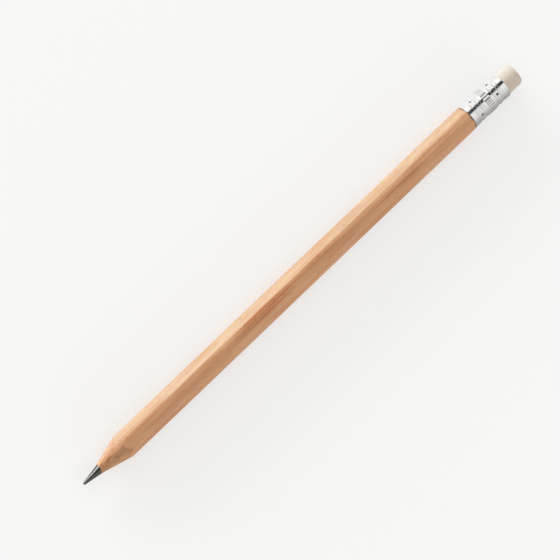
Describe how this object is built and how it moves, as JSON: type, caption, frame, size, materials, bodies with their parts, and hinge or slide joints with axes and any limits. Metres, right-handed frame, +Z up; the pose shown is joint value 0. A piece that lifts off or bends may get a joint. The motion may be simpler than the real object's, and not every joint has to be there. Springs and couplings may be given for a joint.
{
  "type": "pencil with eraser",
  "caption": "Sharpened hexagonal wood-cased pencil with a graphite lead and a white eraser held in a crimped aluminium ferrule.",
  "frame": {"origin": "under the middle of the pencil's length, on the level of the ferrule's lowest point, which is 0.41 mm below the lowest flat of the wood", "axes": "+X along the pencil from the point to the eraser, +Z up out of the upper flat, +Y across the pencil through its side corner"},
  "size_m": [0.18, 0.0082, 0.008],
  "materials": {
    "graphite": "fired graphite and clay, cut to a point, dark grey with a dull metallic shine",
    "casing_wood": "bare light reddish-brown wood with fine straight grain, planed on the flats and cut on the point",
    "ferrule_aluminium": "bright drawn and rolled sheet",
    "eraser_rubber": "matte off-white vulcanised rubber"
  },
  "bodies": {
    "root": {"graphite_lead": "graphite", "casing_half_upper": "casing_wood", "casing_half_lower": "casing_wood", "ferrule": "ferrule_aluminium", "eraser": "eraser_rubber"}
  },
  "joints": []
}
